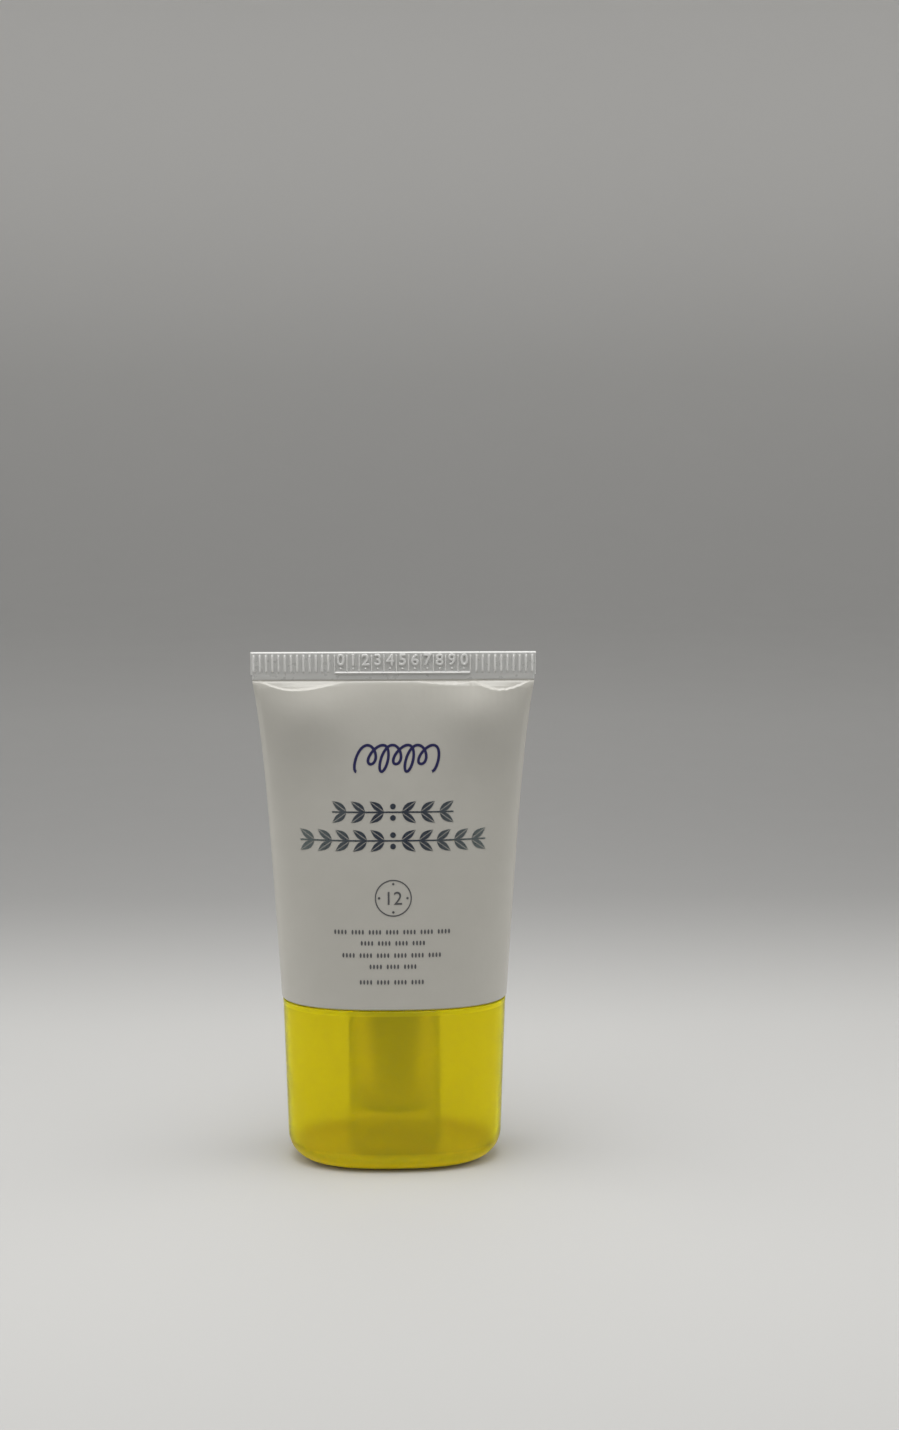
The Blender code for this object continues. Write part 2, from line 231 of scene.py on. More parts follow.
# Floor, backdrop and lights
FLOOR_DROP = 0.0001
FLOOR_FRONT = -4.0
FLOOR_BACK = 0.55
SWEEP_RADIUS = 0.35
BACKDROP_TOP = 1.6
STAGE_WIDTH = 8.0
TOP_LIGHT_PLACE = (-0.03, -0.11, 0.60)
TOP_LIGHT_SIZE = 0.40
TOP_LIGHT_SPREAD = math.radians(110)
TOP_LIGHT_POWER = 1.08
BACK_LIGHT_PLACE = (0.0, 0.22, 0.36)
BACK_LIGHT_SIZE = 0.30
BACK_LIGHT_SPREAD = math.radians(120)
BACK_LIGHT_POWER = 0.10
AIR_COLOUR = (1.0, 0.99, 0.975)
AIR_STRENGTH_AHEAD = 0.07
AIR_STRENGTH_ASIDE = 4.1
AIR_NARROWING = 7.0
AIR_LIFT = math.radians(32)
AIR_HORIZON = (-0.10, 0.45)

# Painted shade on the paper from the front to the back and up, as (metres from the object, shade)
PAPER_START = -0.30
PAPER_END = 1.40
PAPER_PAINTED_SHADE_STOPS = (
    (-0.26, 0.10),
    (-0.11, 0.41),
    (0.06, 0.41),
    (0.15, 0.155),
    (0.35, 0.25),
    (0.88, 0.24),
    (1.25, 1.00),
)

# Colour sockets of a Mix node, which share their names with its other sockets
MIX_FIRST_COLOUR = 6
MIX_SECOND_COLOUR = 7
MIX_RESULT_COLOUR = 2

# Grains of the roughness to one of the colour, along a line
FINER_GRAIN = 3

# Fineness of the meshes
RING_POINTS = 420
TURN_STEPS = 160
ROUNDING_STEPS = 14
WALL_LEVELS = 10
SLEEVE_LEVELS = 64
FOLD_LEVELS = 56
FOLD_ZONE = 0.0034
CREAM_LEVELS = 30
LEVEL_CROWDING = 1.6
ARC_STEPS = 24
SMALL_ARC_STEPS = 8
SWEEP_STEPS = 72
SEAL_COLUMNS = 700
SEAL_ROWS = 44
INK_STEP = 0.0005
LOOP_STEPS = 40
LEAF_STEPS = 12
DISC_STEPS = 16
BAND_STEPS = 80
SHARP_ANGLE = math.radians(40)
WELD_DISTANCE = 1e-6
NEARLY_ZERO = 1e-9

# Sizes that follow from those above
SEAL_BOTTOM = SLEEVE_BOTTOM + SLEEVE_HEIGHT
FILM_TOP = SEAL_BOTTOM + FILM_LAP
CAVITY_TOP = SEAL_BOTTOM - CAVITY_STOP
RIBS_BOTTOM = SEAL_BOTTOM + SEAL_PLAIN_HEIGHT + FILM_LAP
PANEL_CELL = (PANEL_RIGHT - PANEL_LEFT) / PANEL_CELLS
SPIGOT_BOTTOM = SLEEVE_BOTTOM - SPIGOT_HEIGHT
COLLAR_BOTTOM = SPIGOT_BOTTOM - COLLAR_HEIGHT
SEAT_TOP = CAP_FLOOR + SEAT_HEIGHT
SEAT_BOTTOM = SEAT_TOP - SEAT_THICKNESS
NOZZLE_SHOULDER = NOZZLE_TIP + NOZZLE_SHOULDER_HEIGHT
FILL_BOTTOM = PLATE_TOP + SEAM_GAP
SLEEVE_WIDTH = CAP_MOUTH_WIDTH + 2 * PROUD_AT_SIDES
INNER_BORE = INNER_RADIUS - INNER_WALL
FOOT_RADII = (INNER_WALL - FOOT_LAND, FRONT_ROUNDING - CAP_WALL - SEAM_GAP)
COLLAR_RADIUS = INNER_BORE - SEAM_GAP
ROOT_RADIUS = COLLAR_RADIUS - COLLAR_SHELF
SHOULDER_RADIUS = ROOT_RADIUS - NOZZLE_DRAFT
TIP_RADIUS = NOZZLE_TIP_DIAMETER / 2
ORIFICE_RADIUS = ORIFICE_DIAMETER / 2
PIN_RADIUS = ORIFICE_RADIUS - SEAM_GAP


def blend(low, high, share):
    return low + (high - low) * share


def signed_power(value, exponent):
    if abs(value) < NEARLY_ZERO:
        return 0.0
    return math.copysign(abs(value) ** exponent, value)


def bell(offset, spread):
    return math.exp(-((offset / spread) ** 2))


def new_piece(name, mesh, material, body, *nodes):
    """A piece of the object, which rides on a body and may stand for some of its solids."""
    piece = bpy.data.objects.new(name, mesh)
    bpy.context.scene.collection.objects.link(piece)
    mesh.materials.clear()
    mesh.materials.append(material)
    mesh.shade_smooth()
    mesh.set_sharp_from_angle(angle=SHARP_ANGLE)
    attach(piece, body)
    if nodes:
        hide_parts(*nodes)
    return piece


def mesh_of(name, shape):
    bmesh.ops.recalc_face_normals(shape, faces=shape.faces)
    mesh = bpy.data.meshes.new(name)
    shape.to_mesh(mesh)
    shape.free()
    return mesh


def skin(name, rings):
    """One closed surface through a row of rings, with a flat face on the first and the last."""
    shape = bmesh.new()
    rows = [[shape.verts.new(point) for point in ring] for ring in rings]
    for near, far in zip(rows, rows[1:]):
        for step in range(len(near)):
            after = (step + 1) % len(near)
            shape.faces.new((near[step], near[after], far[after], far[step]))
    shape.faces.new(rows[0])
    shape.faces.new(rows[-1])
    return mesh_of(name, shape)


def turned(name, outline):
    """A round solid from an outline of (radius, height), which starts and ends on the axis
    or runs back to its start."""
    shape = bmesh.new()
    closed = outline[0] == outline[-1]
    rows = []
    for radius, height in outline[:-1] if closed else outline:
        if radius < NEARLY_ZERO:
            rows.append([shape.verts.new((0, 0, height))] * TURN_STEPS)
            continue
        angles = [2 * math.pi * step / TURN_STEPS for step in range(TURN_STEPS)]
        rows.append(
            [shape.verts.new((radius * math.cos(a), radius * math.sin(a), height)) for a in angles]
        )
    if closed:
        rows.append(rows[0])
    for near, far in zip(rows, rows[1:]):
        for step in range(TURN_STEPS):
            after = (step + 1) % TURN_STEPS
            corners = [near[step], near[after], far[after], far[step]]
            corners = list(dict.fromkeys(corners))
            if len(corners) > 2:
                shape.faces.new(corners)
    return mesh_of(name, shape)


def arc(centre, radii, start, end, steps):
    """Points of an elliptical arc in (radius, height), with its angles in quarter turns."""
    points = []
    for step in range(steps + 1):
        angle = math.pi / 2 * blend(start, end, step / steps)
        points.append(
            (centre[0] + radii[0] * math.cos(angle), centre[1] + radii[1] * math.sin(angle))
        )
    return points


def joined(mesh, helper_mesh, operation):
    """The mesh after a Boolean with a helper, which is then deleted."""
    piece = bpy.data.objects.new("piece", mesh)
    helper = bpy.data.objects.new("helper", helper_mesh)
    for item in (piece, helper):
        bpy.context.scene.collection.objects.link(item)
    boolean = piece.modifiers.new("join", "BOOLEAN")
    boolean.operation = operation
    boolean.object = helper
    bpy.context.view_layer.update()
    graph = bpy.context.evaluated_depsgraph_get()
    result = bpy.data.meshes.new_from_object(piece.evaluated_get(graph))
    result.name = mesh.name
    for item in (piece, helper):
        bpy.data.objects.remove(item)
    shape = bmesh.new()
    shape.from_mesh(result)
    bmesh.ops.remove_doubles(shape, verts=shape.verts, dist=WELD_DISTANCE)
    bmesh.ops.dissolve_degenerate(shape, edges=shape.edges, dist=WELD_DISTANCE)
    shape.to_mesh(result)
    shape.free()
    return result


def oval_ring(half_width, half_depth, height, depth_exponent=2 / OVAL_POWER):
    """Points of a level superellipse. A depth exponent near 0 makes it a rectangle."""
    ring = []
    for step in range(RING_POINTS):
        angle = 2 * math.pi * step / RING_POINTS
        across = half_width * signed_power(math.cos(angle), 2 / OVAL_POWER)
        along = half_depth * signed_power(math.sin(angle), depth_exponent)
        ring.append(Vector((across, along, height)))
    return ring


def sleeve_halves(height):
    """Half width, half depth, depth exponent and rise of the sleeve at a height."""
    rise = min(max((height - SLEEVE_BOTTOM) / SLEEVE_HEIGHT, 0.0), 1.0)
    flare = (1 - FLARE_SHARE) * rise + FLARE_SHARE * rise**FLARE_POWER
    fullness = (1 - rise) ** BULGE_POWER
    half_width = blend(SLEEVE_WIDTH, SLEEVE_TOP_WIDTH, flare) / 2
    half_depth = blend(SEAL_THICKNESS, SLEEVE_DEPTH, fullness) / 2
    return half_width, half_depth, 2 / OVAL_POWER * (1 - rise**SQUARING_POWER), rise


def pinch(x, half_width, rise):
    """Share of the depth that is left beside the middle, where the seal draws the film in."""
    offset = abs(x) / half_width - PINCH_PLACE_SHARE
    depth_share = PINCH_SHARE * bell(rise - PINCH_RISE_SHARE, PINCH_REACH_SHARE)
    return 1 - depth_share * bell(offset, PINCH_SPREAD_SHARE)


def fold_offset(x, below):
    """What the folds add to the film: a facet that leans out, and a ledge where it ends."""
    offset = 0.0
    for start, low, end, depth, ragged in FOLDS:
        if not start < x < end or below > FOLD_END:
            continue
        share = (x - start) / (low - start) if x < low else (end - x) / (end - low)
        line = (depth + ragged * math.sin(x / FOLD_RAGGED_PITCH)) * math.sin(math.pi / 2 * share)
        past = below - line
        strength = min(1.0, line / FOLD_TAPER)
        fade = math.exp(-max(past, 0.0) / FOLD_FADE) * (1 - (below / FOLD_END) ** 2)
        leaned = FOLD_LEAN * (below - FOLD_SHARPNESS * math.log1p(math.exp(past / FOLD_SHARPNESS)))
        stepped = FOLD_LEDGE * (1 + math.tanh(past / FOLD_SHARPNESS)) / 2
        offset += strength * fade * (leaned + stepped)
    return offset


def swell_offset(x, below):
    """Swelling of the film on both sides of the middle, which fades downwards."""
    reach = below / SWELL_REACH
    share = (reach * math.exp(1 - reach)) ** 2
    return SWELL_DEPTH * bell(abs(x) - SWELL_PLACE, SWELL_SPREAD) * share


def film_depth(x, height, half_width, half_depth, exponent, rise):
    """Distance of the film's outer face from the middle plane."""
    across = min(abs(x) / half_width, 1.0) ** (OVAL_POWER / 2)
    depth = half_depth * math.sqrt(max(1 - across**2, 0.0)) ** exponent
    below = max(FILM_TOP - height, 0.0)
    inward = min(1.0, depth / SEAL_THICKNESS, (half_width - abs(x)) / SEAL_THICKNESS)
    offset = (fold_offset(x, below) + swell_offset(x, below)) * max(inward, 0.0)
    return depth * pinch(x, half_width, rise) + offset


def sleeve_ring(height, inset=0.0):
    half_width, half_depth, exponent, rise = sleeve_halves(height)
    half_width -= inset
    ring = oval_ring(half_width, half_depth - inset, height, exponent)
    for point in ring:
        if inset:
            point.y *= pinch(point.x, half_width, rise)
        elif abs(point.y) > NEARLY_ZERO:
            depth = film_depth(point.x, height, half_width, half_depth, exponent, rise)
            point.y = math.copysign(depth, point.y)
    return ring


def sleeve_heights(bottom, top, levels):
    """Heights from bottom to top that lie closer together towards the top."""
    heights = []
    for level in range(levels + 1):
        rise = 1 - (1 - level / levels) ** LEVEL_CROWDING
        heights.append(blend(bottom, top, rise))
    return heights


def corner_inset(above, radius):
    if above >= radius:
        return 0.0
    return radius - math.sqrt(max(radius**2 - (radius - above) ** 2, 0.0))


def cap_ring(height, inset=0.0, foot=0.0):
    """The cap's outline at a height, or one inside it whose rounded edge starts at a foot."""
    down = 1 - height / CAP_HEIGHT
    half_width = (CAP_MOUTH_WIDTH - CAP_WIDTH_DRAFT * down) / 2 - inset
    half_depth = (CAP_MOUTH_DEPTH - CAP_DEPTH_DRAFT * down) / 2 - inset
    half_width -= corner_inset(height - foot, SIDE_ROUNDING - inset)
    half_depth -= corner_inset(height - foot, FRONT_ROUNDING - inset)
    return oval_ring(half_width, half_depth, height)


def cap_heights(foot, radius, top):
    """Heights for the rounded lower edge, closest at its foot, and then for the wall."""
    heights = []
    for step in range(ROUNDING_STEPS + 1):
        angle = math.pi / 2 * step / ROUNDING_STEPS
        heights.append(foot + radius * (1 - math.cos(angle)))
    for level in range(1, WALL_LEVELS + 1):
        heights.append(blend(foot + radius, top, level / WALL_LEVELS))
    return heights


def lip_rings():
    """Rings over the cap's rounded lip, from its outer wall to its inner one."""
    rings = []
    for step in range(1, 2 * SMALL_ARC_STEPS):
        angle = math.pi * step / (2 * SMALL_ARC_STEPS)
        inner = angle > math.pi / 2
        inset = CAP_WALL - LIP_ROUNDING if inner else LIP_ROUNDING
        inset -= LIP_ROUNDING * math.cos(angle)
        height = CAP_HEIGHT - LIP_ROUNDING * (1 - math.sin(angle))
        rings.append(cap_ring(height, inset))
    return rings


def make_cap_shell(material):
    wall_top = CAP_HEIGHT - LIP_ROUNDING
    outer = [cap_ring(height) for height in cap_heights(0.0, SIDE_ROUNDING, wall_top)]
    inner = [
        cap_ring(height, CAP_WALL, CAP_FLOOR)
        for height in cap_heights(CAP_FLOOR, SIDE_ROUNDING - CAP_WALL, wall_top)
    ]
    mesh = skin("cap_clear_shell", outer + lip_rings() + inner[::-1])
    outside = COLLAR_RADIUS
    inside = outside - RING_WALL
    foot, top = CAP_FLOOR / 2, CAP_FLOOR + RING_HEIGHT
    outline = [(inside, foot), (inside, top), (outside, top), (outside, foot), (inside, foot)]
    mesh = joined(mesh, turned("locating_ring", outline), "UNION")
    piece = new_piece("cap_clear_shell", mesh, material, "cap", "cap_shell")


def make_cap_inner_sleeve(material):
    outline = [
        (0, SEAT_TOP + PIN_HEIGHT),
        (PIN_RADIUS, SEAT_TOP + PIN_HEIGHT),
        (PIN_RADIUS, SEAT_TOP),
        (INNER_BORE, SEAT_TOP),
        (INNER_BORE, INNER_TOP),
        (INNER_RADIUS, INNER_TOP),
    ]
    foot_centre = (INNER_RADIUS - FOOT_RADII[0], INNER_BOTTOM + FOOT_RADII[1])
    outline += arc(foot_centre, FOOT_RADII, 0, -1, SMALL_ARC_STEPS)
    outline += [(INNER_BORE, INNER_BOTTOM), (INNER_BORE, SEAT_BOTTOM), (0, SEAT_BOTTOM)]
    mesh = turned("cap_clear_sleeve", outline)
    piece = new_piece("cap_clear_sleeve", mesh, material, "cap", "cap_inner_sleeve")


def make_film(material):
    """The sleeve's film, up to the line where the flat seal starts."""
    hem = SLEEVE_BOTTOM + HEM_ROUNDING
    zone = FILM_TOP - FOLD_ZONE
    heights = sleeve_heights(hem, zone, SLEEVE_LEVELS)
    heights += [blend(zone, FILM_TOP, step / FOLD_LEVELS) for step in range(1, FOLD_LEVELS + 1)]
    outer = [sleeve_ring(height) for height in heights]
    edge = [sleeve_ring(SLEEVE_BOTTOM, HEM_ROUNDING), sleeve_ring(SLEEVE_BOTTOM, SLEEVE_WALL)]
    inner = [
        sleeve_ring(height, SLEEVE_WALL)
        for height in sleeve_heights(SLEEVE_BOTTOM, CAVITY_TOP, CREAM_LEVELS)[1:]
    ]
    mesh = skin("tube_film", outer[::-1] + edge + inner)
    piece = new_piece("tube_film", mesh, material, "tube", "tube_sleeve")


def ridge(offset, width):
    """Height share of a rounded bar, at a distance from its middle."""
    share = abs(offset) / (width / 2)
    return 0.0 if share >= 1 else (1 + math.cos(math.pi * share)) / 2


def rib_share(x):
    """Height share of the ribs beside the panel, or of the lines between its cells."""
    if PANEL_LEFT - PANEL_LINE_WIDTH < x < PANEL_RIGHT + PANEL_LINE_WIDTH:
        nearest = round((x - PANEL_LEFT) / PANEL_CELL) * PANEL_CELL + PANEL_LEFT
        return ridge(x - nearest, PANEL_LINE_WIDTH)
    start = PANEL_RIGHT if x > PANEL_RIGHT else PANEL_LEFT
    nearest = round((x - start) / RIB_PITCH) * RIB_PITCH + start
    return ridge(x - nearest, RIB_WIDTH)


def seal_relief(x, height):
    """Relief of the seal's faces: ribs, and a panel with an underline and a mark in each cell."""
    low, high = RIBS_BOTTOM + RIB_MARGIN, TUBE_TOP - RIB_MARGIN
    if not low - PANEL_LINE_WIDTH < height < high:
        return 0.0
    ends = min(1.0, max(height - low, 0.0) / RIB_MARGIN, (high - height) / RIB_MARGIN)
    relief = RIB_RELIEF * rib_share(x) * ends
    if PANEL_LEFT < x < PANEL_RIGHT:
        cell = math.floor((x - PANEL_LEFT) / PANEL_CELL)
        middle = (cell + 1 / 2) * PANEL_CELL + PANEL_LEFT
        line = RIB_RELIEF * ridge(height - low, 2 * PANEL_LINE_WIDTH)
        reach = math.hypot(x - middle, height - low - PIN_MARK_RISE)
        mark = RIB_RELIEF * ridge(reach, 2 * PIN_MARK_RADIUS)
        relief = max(relief, line, mark)
    return relief


def make_seal(material):
    """The flat seal as one closed block, with relief on its front and back."""
    rows = []
    shares = []
    for row in range(SEAL_ROWS + 1):
        height = blend(SEAL_BOTTOM, TUBE_TOP, row / SEAL_ROWS)
        half_width = (SEAL_WIDTH if height > RIBS_BOTTOM else SLEEVE_TOP_WIDTH) / 2
        down = TUBE_TOP - height
        edge = corner_inset(down, SEAL_EDGE)
        ring = []
        for front in (-1, 1):
            for column in range(SEAL_COLUMNS + 1):
                x = front * blend(half_width, -half_width, column / SEAL_COLUMNS)
                to_side = half_width - abs(x)
                depth = SEAL_THICKNESS / 2 - edge - corner_inset(to_side, SEAL_EDGE)
                if height <= FILM_TOP:
                    depth -= SEAL_TUCK
                relief = seal_relief(x, height)
                ring.append(Vector((x, front * (depth + relief), height)))
                shares.append(relief / RIB_RELIEF)
        rows.append(ring)
    mesh = skin("tube_seal", rows)
    raised = mesh.attributes.new(RAISED, "FLOAT", "POINT")
    raised.data.foreach_set("value", shares)
    piece = new_piece("tube_seal", mesh, material, "tube")


def nozzle_outline():
    """From inside the head's plate down over the collar, its bead and the nozzle."""
    bead_height = blend(COLLAR_BOTTOM, INNER_TOP, 1 / 2)
    bead_centre = INNER_BORE - BEAD_CLEARANCE - BEAD_RADIUS
    fillet_centre = (ROOT_RADIUS + NOZZLE_FILLET, COLLAR_BOTTOM - NOZZLE_FILLET)
    dome = (SHOULDER_RADIUS - TIP_RADIUS, NOZZLE_SHOULDER_HEIGHT)
    bead_reach = math.sqrt(BEAD_RADIUS**2 - (COLLAR_RADIUS - bead_centre) ** 2)
    bead_angle = math.asin(bead_reach / BEAD_RADIUS) / (math.pi / 2)
    outline = [(0, blend(SLEEVE_BOTTOM, PLATE_TOP, 1 / 2))]
    outline.append((COLLAR_RADIUS, outline[0][1]))
    outline += arc(
        (bead_centre, bead_height),
        (BEAD_RADIUS, BEAD_RADIUS),
        bead_angle,
        -bead_angle,
        SMALL_ARC_STEPS,
    )
    outline.append((COLLAR_RADIUS, COLLAR_BOTTOM))
    outline += arc(fillet_centre, (NOZZLE_FILLET, NOZZLE_FILLET), 1, 2, SMALL_ARC_STEPS)
    outline += arc((TIP_RADIUS, NOZZLE_SHOULDER), dome, 0, -1, ARC_STEPS)
    outline.append((0, NOZZLE_TIP))
    return outline


def bore_outline(inset, top, bottom):
    """From the cream side down through the nozzle, at an inset inside the bore's wall."""
    land_top = NOZZLE_TIP + ORIFICE_LENGTH
    wide = ROOT_RADIUS - NOZZLE_WALL
    outline = [
        (0, top),
        (wide + FUNNEL_WIDENING - inset, top),
        (wide + FUNNEL_WIDENING - inset, PLATE_TOP),
        (wide - inset, SLEEVE_BOTTOM),
        (wide - inset, COLLAR_BOTTOM),
        (SHOULDER_RADIUS - NOZZLE_WALL - inset, NOZZLE_SHOULDER),
        (ORIFICE_RADIUS, land_top + inset),
    ]
    if bottom < land_top:
        outline.append((ORIFICE_RADIUS, bottom))
    outline.append((0, outline[-1][1]))
    return outline


def make_head(material):
    spigot_inset = CAP_WALL + SEAM_GAP
    plate_inset = SLEEVE_WALL + SEAM_GAP
    spigot = [Vector((p.x, p.y, SLEEVE_BOTTOM)) for p in cap_ring(CAP_HEIGHT, spigot_inset)]
    foot = [Vector((p.x, p.y, SPIGOT_BOTTOM)) for p in spigot]
    plate = [sleeve_ring(height, plate_inset) for height in (SLEEVE_BOTTOM, PLATE_TOP)]
    mesh = skin("tube_nozzle_head", [foot, spigot, *plate])
    mesh = joined(mesh, turned("nozzle_body", nozzle_outline()), "UNION")
    bore = bore_outline(0.0, PLATE_TOP + OVERRUN, NOZZLE_TIP - OVERRUN)
    mesh = joined(mesh, turned("nozzle_bore", bore), "DIFFERENCE")
    piece = new_piece("tube_nozzle_head", mesh, material, "tube", "tube_head")


def make_cream(material):
    rings = [
        sleeve_ring(height, SLEEVE_WALL + SEAM_GAP)
        for height in sleeve_heights(FILL_BOTTOM, FILL_TOP, CREAM_LEVELS)
    ]
    stem = bore_outline(SEAM_GAP, FILL_BOTTOM + OVERRUN, NOZZLE_TIP + ORIFICE_LENGTH)
    mesh = joined(skin("cream_inside", rings), turned("cream_stem", stem), "UNION")
    piece = new_piece("cream_inside", mesh, material, "tube", "cream_fill")


def printed(name, faces, material):
    """A thin print on the sleeve's front, from flat faces with corners as (x, height). Faces
    side by side share their corners, and only their outline has walls."""
    shape = bmesh.new()
    lifts = (INK_LIFT, INK_LIFT + INK_THICKNESS)
    points = {}
    uses = {}
    for face in faces:
        for place, corner in enumerate(face):
            if corner not in points:
                points[corner] = [shape.verts.new(on_front(*corner, lift)) for lift in lifts]
            edge = frozenset((corner, face[place - 1]))
            uses[edge] = uses.get(edge, 0) + 1
    for face in faces:
        for layer in range(len(lifts)):
            shape.faces.new([points[corner][layer] for corner in face])
        for place, corner in enumerate(face):
            before = face[place - 1]
            if uses[frozenset((corner, before))] == 1:
                shape.faces.new((*points[before], *reversed(points[corner])))
    new_piece(name, mesh_of(name, shape), material, "tube")


def on_front(x, up, lift):
    """A point of the sleeve's front at a height above its lower edge, lifted off the film."""
    height = SLEEVE_BOTTOM + up
    depth = film_depth(x, height, *sleeve_halves(height))
    return Vector((x, -depth - lift, height))


def bar(left, right, low, high):
    """A flat bar cut into short faces, so that it bends with the film."""
    count = max(1, math.ceil((right - left) / INK_STEP))
    edges = [blend(left, right, step / count) for step in range(count + 1)]
    return [
        [(start, low), (end, low), (end, high), (start, high)]
        for start, end in zip(edges, edges[1:])
    ]


def stroke(points, width):
    """A line of even width through points in (x, height), as short faces side by side."""
    edges = []
    for step, (x, height) in enumerate(points):
        before, after = points[max(step - 1, 0)], points[min(step + 1, len(points) - 1)]
        along = Vector((after[0] - before[0], after[1] - before[1])).normalized()
        side = Vector((-along.y, along.x)) * width / 2
        edges.append(((x + side.x, height + side.y), (x - side.x, height - side.y)))
    return [[a[0], b[0], b[1], a[1]] for a, b in zip(edges, edges[1:])]


def band(centre, outer, inner):
    """A closed ring between two radii, as short faces side by side."""
    angles = [2 * math.pi * step / BAND_STEPS for step in range(BAND_STEPS)]
    rims = [
        [(centre[0] + radius * math.sin(a), centre[1] + radius * math.cos(a)) for a in angles]
        for radius in (outer, inner)
    ]
    faces = []
    for step in range(BAND_STEPS):
        after = (step + 1) % BAND_STEPS
        faces.append((rims[0][step], rims[0][after], rims[1][after], rims[1][step]))
    return faces


def disc(centre, half_width, half_height):
    """A flat oval as one face."""
    x, up = centre
    angles = [2 * math.pi * step / DISC_STEPS for step in range(DISC_STEPS)]
    return [[(x + half_width * math.cos(a), up + half_height * math.sin(a)) for a in angles]]


def leaf(root, tilt):
    """A pointed leaf in two halves beside its rib, from its root along a tilt."""
    faces = []
    along = Vector((math.cos(tilt), math.sin(tilt)))
    across = Vector((-along.y, along.x))
    for side in (-1, 1):
        rows = []
        for step in range(LEAF_STEPS + 1):
            share = step / LEAF_STEPS
            half = LEAF_WIDTH / 2 * math.sin(math.pi * share**LEAF_POWER)
            middle = Vector(root) + along * LEAF_LENGTH * share
            inner = min(LEAF_RIB / 2, half) * side
            rows.append((tuple(middle + across * inner), tuple(middle + across * half * side)))
        faces += [list(dict.fromkeys((*a, *reversed(b)))) for a, b in zip(rows, rows[1:])]
    return [face for face in faces if len(face) > 2]


def sprig_faces():
    """Two laurel sprigs, one above the other, with two berries in the middle of each and an even
    number of pairs of leaves, which point away from them."""
    faces = []
    half_stem = SPRIG_STEM / 2
    for centre, height, width, pairs in SPRIG_ROWS:
        left, right = centre - width / 2, centre + width / 2
        faces += bar(left, right, height - half_stem, height + half_stem)
        pitch = (width - 2 * LEAF_LENGTH * math.cos(LEAF_TILT)) / (pairs - 1)
        for up in (-1, 1):
            faces += disc((centre, height + up * 2 * BERRY_RADIUS), BERRY_RADIUS, BERRY_RADIUS)
            for place in range(pairs):
                offset = pitch * (place - (pairs - 1) / 2)
                tilt = up * LEAF_TILT if offset > 0 else math.pi - up * LEAF_TILT
                faces += leaf((centre + offset, height + up * half_stem), tilt)
    return faces


def flourish_points():
    """A slanted line of pen loops, every second one lower."""
    points = []
    steps = FLOURISH_LOOPS * LOOP_STEPS
    for step in range(steps + 1):
        share = step / steps
        turn = 2 * math.pi * FLOURISH_LOOPS * share
        swell = 1 - FLOURISH_DROP_SHARE * (1 - math.cos(turn / 2)) / 2
        rise = -FLOURISH_LOOP_HEIGHT * swell * math.cos(turn)
        x = FLOURISH_CENTRE[0] + FLOURISH_WIDTH * (share - 1 / 2)
        x += FLOURISH_SLANT * rise - FLOURISH_LOOP_WIDTH * math.sin(turn)
        points.append((x, FLOURISH_CENTRE[1] + rise))
    return points


def dial_faces():
    """A plain dial: a ring with a dot inside it at each quarter."""
    faces = band(DIAL_CENTRE, DIAL_RADIUS + DIAL_STROKE / 2, DIAL_RADIUS - DIAL_STROKE / 2)
    for across, up in ((0, 1), (1, 0), (0, -1), (-1, 0)):
        middle = (DIAL_CENTRE[0] + across * DIAL_DOT_REACH, DIAL_CENTRE[1] + up * DIAL_DOT_REACH)
        faces += disc(middle, DIAL_DOT_RADIUS, DIAL_DOT_RADIUS)
    return faces


def seed_faces():
    """Rows of fine seeds in even groups, with the place of one seed left free between groups."""
    faces = []
    for centre, height, width in SEED_ROWS:
        count = SEED_GROUP * round(width / (SEED_PITCH * SEED_GROUP)) - 1
        for place in range(count):
            if place % SEED_GROUP < SEED_GROUP - 1:
                x = centre + SEED_PITCH * (place - (count - 1) / 2)
                faces += disc((x, height), SEED_WIDTH / 2, SEED_HEIGHT / 2)
    return faces


def numeral_mesh(text, height, relief, rounding=0.0):
    """Plain numbers as a mesh in (x, height), centred, with a relief towards -Y."""
    curve = bpy.data.curves.new("numerals", "FONT")
    curve.body = text
    curve.align_x = "CENTER"
    curve.extrude = relief * DIGIT_SHARE / height
    curve.bevel_depth = rounding * DIGIT_SHARE / height
    curve.bevel_resolution = NUMERAL_ROUNDING_STEPS
    holder = bpy.data.objects.new("numerals", curve)
    bpy.context.scene.collection.objects.link(holder)
    bpy.context.view_layer.update()
    graph = bpy.context.evaluated_depsgraph_get()
    mesh = bpy.data.meshes.new_from_object(holder.evaluated_get(graph))
    bpy.data.objects.remove(holder)
    low = min(vertex.co.y for vertex in mesh.vertices)
    tall = max(vertex.co.y for vertex in mesh.vertices) - low
    scale = height / tall
    for vertex in mesh.vertices:
        x, y, z = vertex.co
        vertex.co = (x * scale, -z * scale, (y - low) * scale - height / 2)
    return mesh


def dial_numeral(material):
    mesh = numeral_mesh(DIAL_NUMERAL, DIAL_NUMERAL_HEIGHT, INK_THICKNESS / 2)
    for vertex in mesh.vertices:
        x, up = vertex.co.x + DIAL_CENTRE[0], vertex.co.z + DIAL_CENTRE[1]
        vertex.co = on_front(x, up, INK_LIFT + INK_THICKNESS / 2 - vertex.co.y)
    new_piece("print_numeral", mesh, material, "tube")


def seal_numerals(material):
    """One plain digit raised in each cell of the seal's panel."""
    for place in range(PANEL_CELLS):
        mesh = numeral_mesh(str(place % 10), NUMERAL_HEIGHT, NUMERAL_RELIEF, NUMERAL_ROUNDING)
        middle = PANEL_LEFT + PANEL_CELL * (place + 1 / 2)
        spot = (middle, -SEAL_THICKNESS / 2, TUBE_TOP - NUMERAL_DROP)
        mesh.transform(Matrix.Translation(spot))
        piece = new_piece(f"seal_numeral_{place + 1}", mesh, material, "tube")


